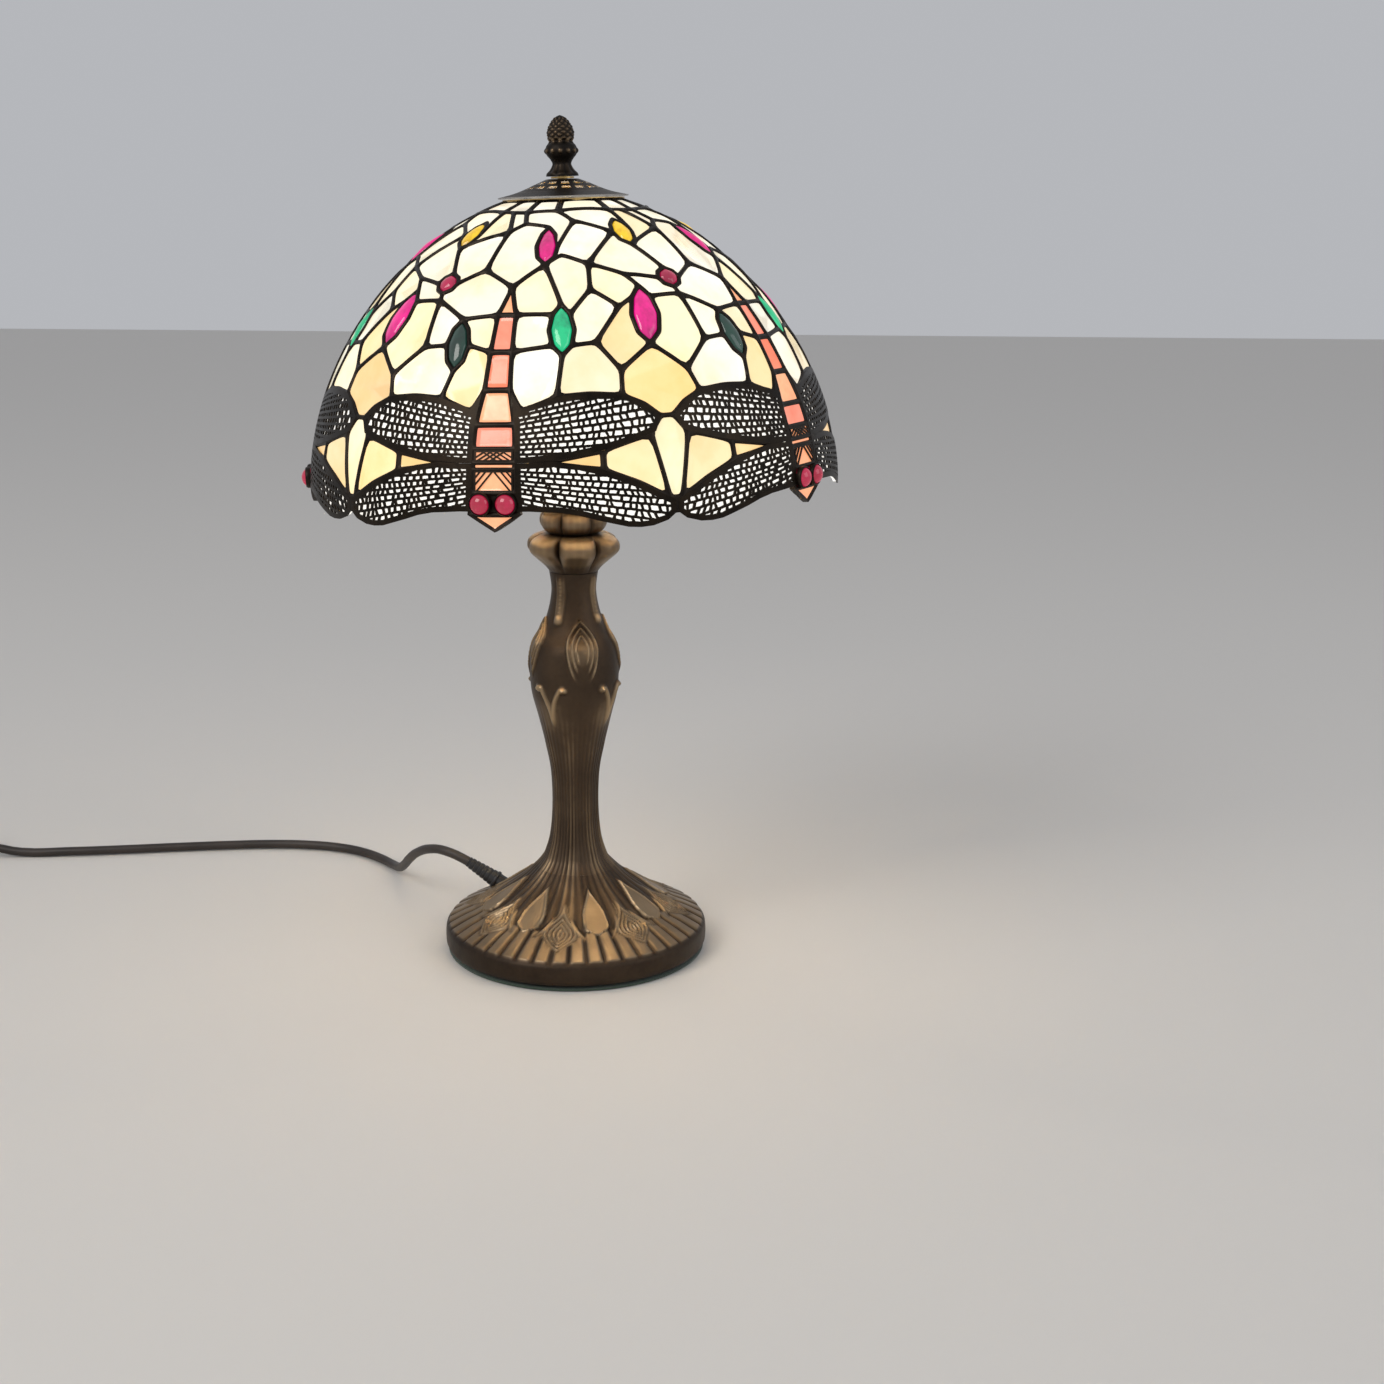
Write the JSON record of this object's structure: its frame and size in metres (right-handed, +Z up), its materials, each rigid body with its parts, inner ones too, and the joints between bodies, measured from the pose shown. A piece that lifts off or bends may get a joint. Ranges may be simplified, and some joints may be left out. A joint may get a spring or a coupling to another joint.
{
  "type": "stained glass table lamp",
  "caption": "Table lamp: leaded glass dome with dragonflies and jewels, on a harp over a cast bronze column and round ribbed foot.",
  "frame": {"origin": "centre of the felt's underside, on the surface the lamp stands on", "axes": "+Z up along the column, -Y towards the front dragonfly's side, +X to the right seen from there"},
  "size_m": [0.8145, 0.3332, 0.4944],
  "materials": {
    "aged_bronze": "dark antique bronze patina, warm brass on the raised relief",
    "brass_fittings": "satin brass",
    "steel_parts": "zinc plated",
    "iron_weight": "as cast, blackened",
    "felt": "short dense felt",
    "opal_glass": "opalescent cream, amber, coral and white glass in dark solder lines",
    "wing_filigree": "dark etched filigree over white opal glass",
    "ruby_glass": "polished pressed glass",
    "ceramic": "glazed",
    "bulb_glass": "clear blown glass",
    "black_plastic": "moulded, fine texture",
    "cord_sheath": "smooth dark brown sheath"
  },
  "bodies": {
    "root": {"foot_casting": "aged_bronze", "cord_bush": "black_plastic", "felt_pad": "felt", "base_plate": "iron_weight", "foot_weight": "iron_weight", "stem_casting": "aged_bronze", "lobed_collar": "aged_bronze", "top_cup": "aged_bronze", "lamp_pipe": "steel_parts", "inner_lead": "black_plastic", "foot_washer": "steel_parts", "foot_nut": "steel_parts", "saddle_nut": "brass_fittings", "harp_wire": "brass_fittings", "harp_saddle": "brass_fittings", "harp_stud": "brass_fittings", "holder_cap": "brass_fittings", "holder_shell": "brass_fittings", "contact_block": "ceramic", "holder_liner": "ceramic", "screw_shell": "brass_fittings", "centre_contact": "brass_fittings", "strain_relief": "black_plastic", "cord_lead": "cord_sheath", "cord_link": "cord_sheath", "cord_coil": "cord_sheath", "cord_tail": "cord_sheath", "switch_base": "black_plastic", "switch_cover": "black_plastic", "plug_boot": "black_plastic", "plug_body": "black_plastic", "plug_pin_earth": "brass_fittings", "plug_pin_left": "brass_fittings", "plug_pin_right": "brass_fittings"},
    "shade": {"shade_ring": "brass_fittings", "vase_cap": "aged_bronze", "glass_panel_1": "opal_glass", "glass_panel_2": "opal_glass", "glass_panel_3": "opal_glass", "glass_panel_4": "opal_glass", "glass_panel_5": "opal_glass", "dragonfly_1": "wing_filigree", "dragonfly_2": "wing_filigree", "dragonfly_3": "wing_filigree", "dragonfly_4": "wing_filigree", "dragonfly_5": "wing_filigree", "dragonfly_eyes_1": "ruby_glass", "dragonfly_eyes_2": "ruby_glass", "dragonfly_eyes_3": "ruby_glass", "dragonfly_eyes_4": "ruby_glass", "dragonfly_eyes_5": "ruby_glass"},
    "finial_washer": {"finial_washer": "brass_fittings"},
    "finial": {"finial": "aged_bronze"},
    "bulb_contact": {"bulb_contact": "steel_parts"},
    "bulb": {"bulb_cap": "steel_parts", "bulb_envelope": "bulb_glass", "bulb_stem": "bulb_glass"},
    "ferrule_left": {"harp_ferrule_left": "brass_fittings"},
    "ferrule_right": {"harp_ferrule_right": "brass_fittings"},
    "rocker": {"switch_rocker": "black_plastic"}
  },
  "joints": [
    {"name": "shade_spin", "type": "hinge", "parent": "root", "child": "shade", "pos_m": [0, 0, 0.34], "axis": [-0.0384, 0, 0.9993], "continuous": true},
    {"name": "finial_lift", "type": "slide", "parent": "root", "child": "finial_washer", "axis": [-0.0384, 0, 0.9993], "range_m": [0, 0.014]},
    {"name": "finial_turn", "type": "hinge", "parent": "finial_washer", "child": "finial", "pos_m": [0, 0, 0.34], "axis": [-0.0384, 0, 0.9993], "range_deg": [0, 5386]},
    {"name": "bulb_lift", "type": "slide", "parent": "root", "child": "bulb_contact", "axis": [0, 0, 1], "range_m": [0, 0.0216]},
    {"name": "bulb_turn", "type": "hinge", "parent": "bulb_contact", "child": "bulb", "pos_m": [0, 0, 0.303], "axis": [0, 0, 1], "range_deg": [0, 2142.7]},
    {"name": "ferrule_left_slide", "type": "slide", "parent": "root", "child": "ferrule_left", "axis": [0, 0, 1], "range_m": [0, 0.012]},
    {"name": "ferrule_right_slide", "type": "slide", "parent": "root", "child": "ferrule_right", "axis": [0, 0, 1], "range_m": [0, 0.012]},
    {"name": "rocker_tilt", "type": "hinge", "parent": "root", "child": "rocker", "pos_m": [-0.458, 0.152, 0.018], "axis": [0, -1, 0], "range_deg": [0, 16]}
  ],
  "couplings": [
    {"joint": "finial_turn", "follows": "finial_lift", "rad_per_m": 6684},
    {"joint": "bulb_lift", "follows": "bulb_turn", "m_per_rad": 0.00057758}
  ]
}
